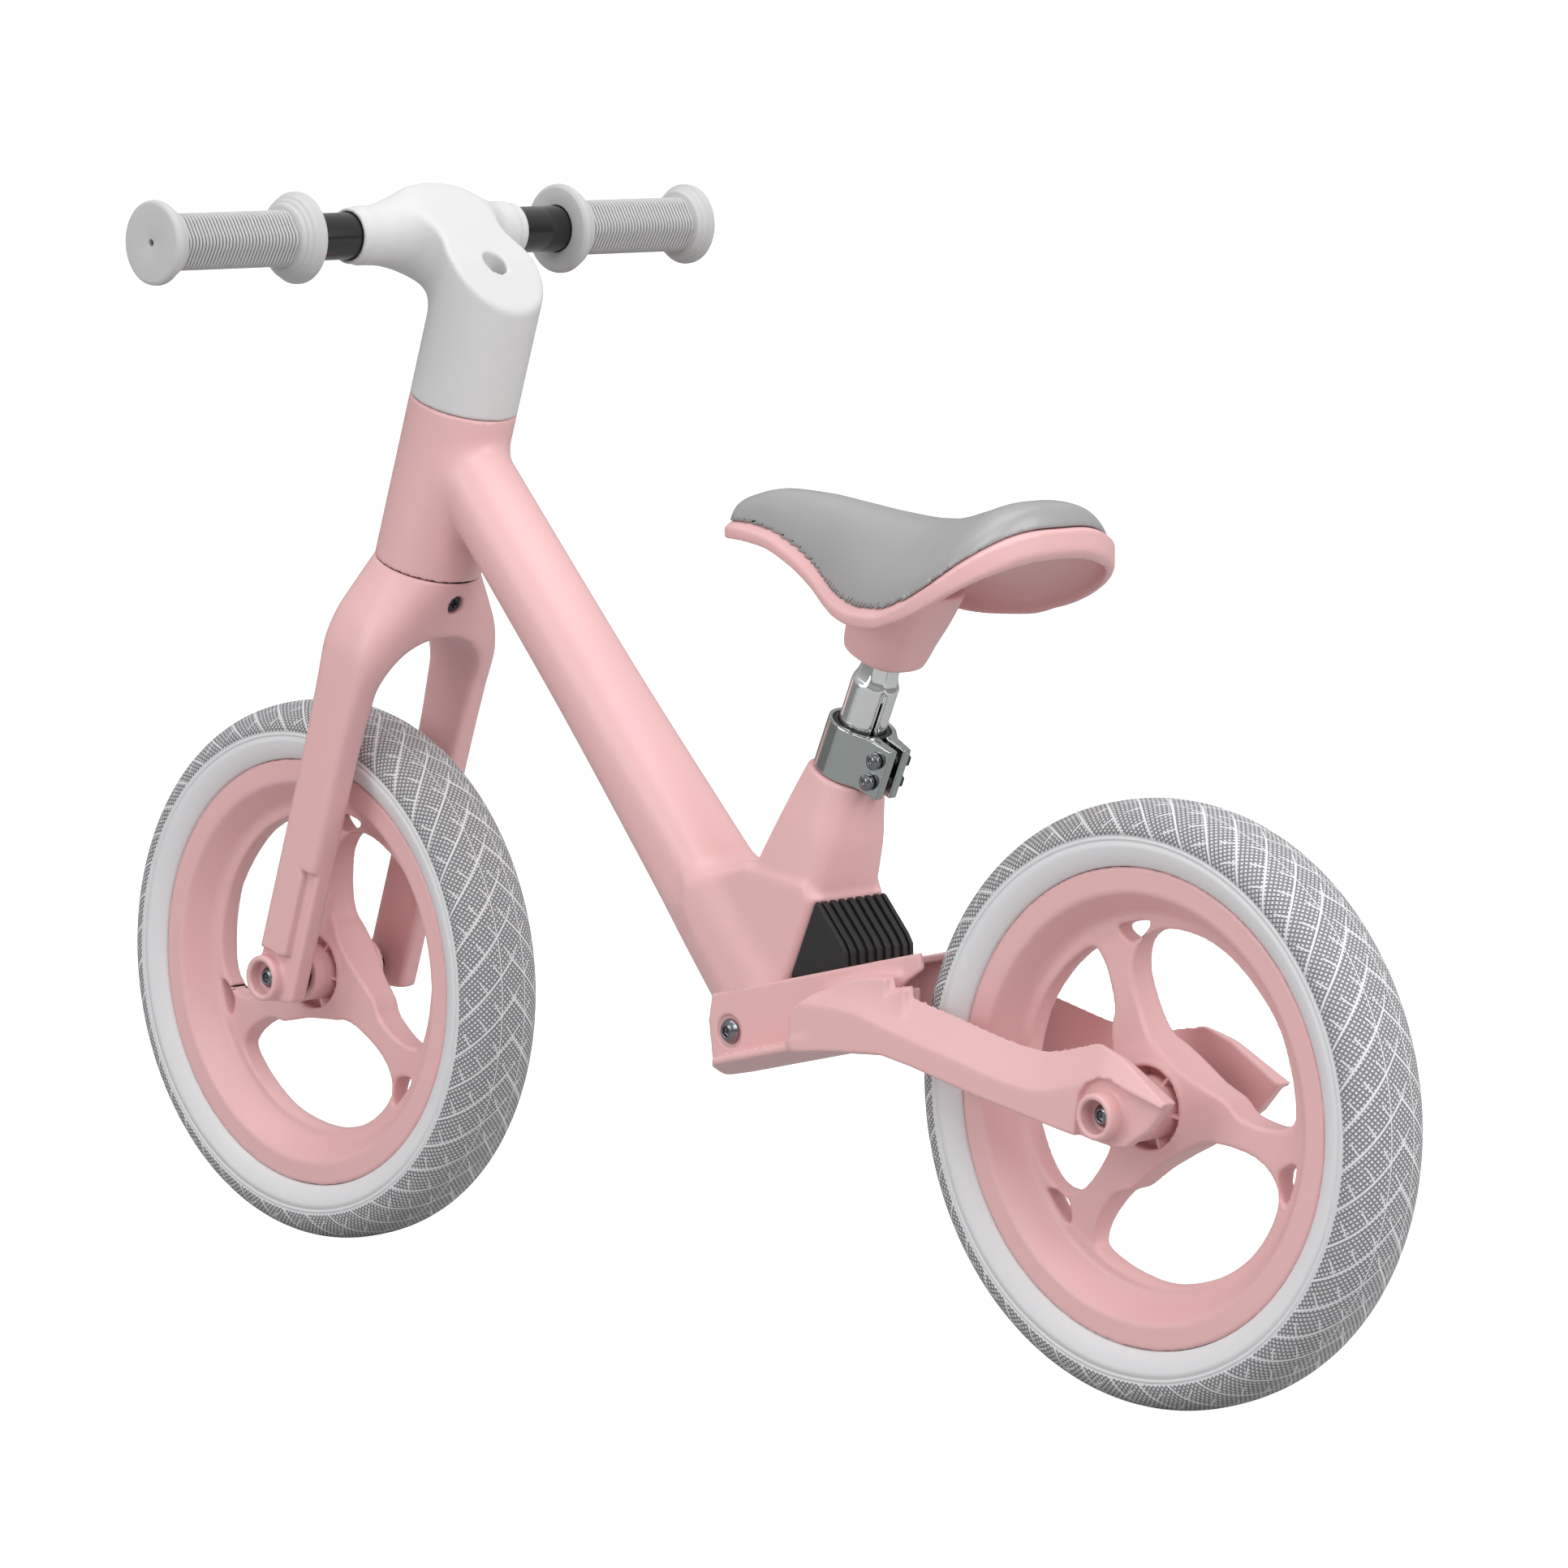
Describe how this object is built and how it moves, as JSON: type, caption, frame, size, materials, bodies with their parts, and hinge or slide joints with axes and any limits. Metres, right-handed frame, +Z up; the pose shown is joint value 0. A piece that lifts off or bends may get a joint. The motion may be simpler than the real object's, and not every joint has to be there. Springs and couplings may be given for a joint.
{
  "type": "balance bike",
  "caption": "A child's pedal-free balance bike: cast frame and fork, foam tyres on spoked rims, a sprung rear arm with footrests, an adjustable saddle and a swivelling handlebar.",
  "frame": {"origin": "On the ground, midway between the two axles, on the bike's centre plane", "axes": "+X points forward, +Y to the rider's left, +Z up"},
  "size_m": [0.922, 0.387, 0.5841],
  "materials": {
    "frame_paint": "satin pink paint with a slight pearl",
    "shell_plastic": "satin pink moulded plastic",
    "grey_plastic": "fine-grained light grey",
    "grip_rubber": "matte light grey with fine ribs",
    "tyre_foam": "matte light grey foam with a knurled tread",
    "pad_fabric": "smooth grey synthetic leather over foam",
    "black_rubber": "matte",
    "black_plastic": "matte",
    "black_gloss": "gloss black",
    "black_steel": "black oxide",
    "polished_steel": "polished",
    "bolt_steel": "zinc plated",
    "chrome": "mirror"
  },
  "bodies": {
    "frame": {"main_frame": "frame_paint", "lower_headset_bush": "black_plastic", "upper_headset_bush": "black_plastic", "seat_clamp": "polished_steel", "clamp_bolt_lower": "bolt_steel", "clamp_bolt_upper": "bolt_steel", "clamp_nut_lower": "black_steel", "clamp_nut_upper": "black_steel", "seat_post_shim": "black_plastic", "pivot_bush_left": "black_plastic", "pivot_bush_right": "black_plastic"},
    "steering": {"fork": "frame_paint", "steerer_tube": "bolt_steel", "crown_screw": "black_steel", "stem": "grey_plastic", "stem_washer": "bolt_steel", "stem_bolt": "black_steel", "stem_expander": "bolt_steel", "handlebar": "black_gloss", "grip_left": "grip_rubber", "grip_right": "grip_rubber", "front_axle_bolt": "bolt_steel", "front_axle_nut": "bolt_steel", "front_axle_sleeve": "bolt_steel", "front_spacer_left": "black_plastic", "front_spacer_right": "black_plastic"},
    "front_wheel": {"front_rim": "frame_paint", "front_tyre": "tyre_foam", "front_bearing_left": "bolt_steel", "front_bearing_right": "bolt_steel"},
    "arm": {"swingarm": "frame_paint", "pivot_bolt": "bolt_steel", "pivot_nut": "bolt_steel", "pivot_sleeve": "bolt_steel", "suspension_block": "black_rubber", "rear_axle_bolt": "bolt_steel", "rear_axle_nut": "bolt_steel", "rear_axle_sleeve": "bolt_steel", "rear_spacer_left": "black_plastic", "rear_spacer_right": "black_plastic"},
    "rear_wheel": {"rear_rim": "frame_paint", "rear_tyre": "tyre_foam", "rear_bearing_left": "bolt_steel", "rear_bearing_right": "bolt_steel"},
    "seat": {"seat_post": "chrome", "saddle_shell": "shell_plastic", "saddle_pad": "pad_fabric", "saddle_screw": "bolt_steel"}
  },
  "joints": [
    {"name": "steering", "type": "hinge", "parent": "frame", "child": "steering", "pos_m": [0.30626, 0, 0.14841], "axis": [-0.3173, 0, 0.9483], "range_deg": [-80, 80]},
    {"name": "front_wheel_spin", "type": "hinge", "parent": "steering", "child": "front_wheel", "pos_m": [0.311, 0, 0.15], "axis": [0, 1, 0], "continuous": true},
    {"name": "suspension", "type": "hinge", "parent": "frame", "child": "arm", "pos_m": [-0.0365, 0, 0.158], "axis": [0, 1, 0], "range_deg": [0, 3.5], "stiffness_Nm_per_rad": 900, "springref_deg": -1.15, "deforming": ["suspension_block"]},
    {"name": "rear_wheel_spin", "type": "hinge", "parent": "arm", "child": "rear_wheel", "pos_m": [-0.311, 0, 0.15], "axis": [0, 1, 0], "continuous": true},
    {"name": "seat_height", "type": "slide", "parent": "frame", "child": "seat", "axis": [-0.3987, 0, 0.9171], "range_m": [-0.018, 0.045]}
  ]
}
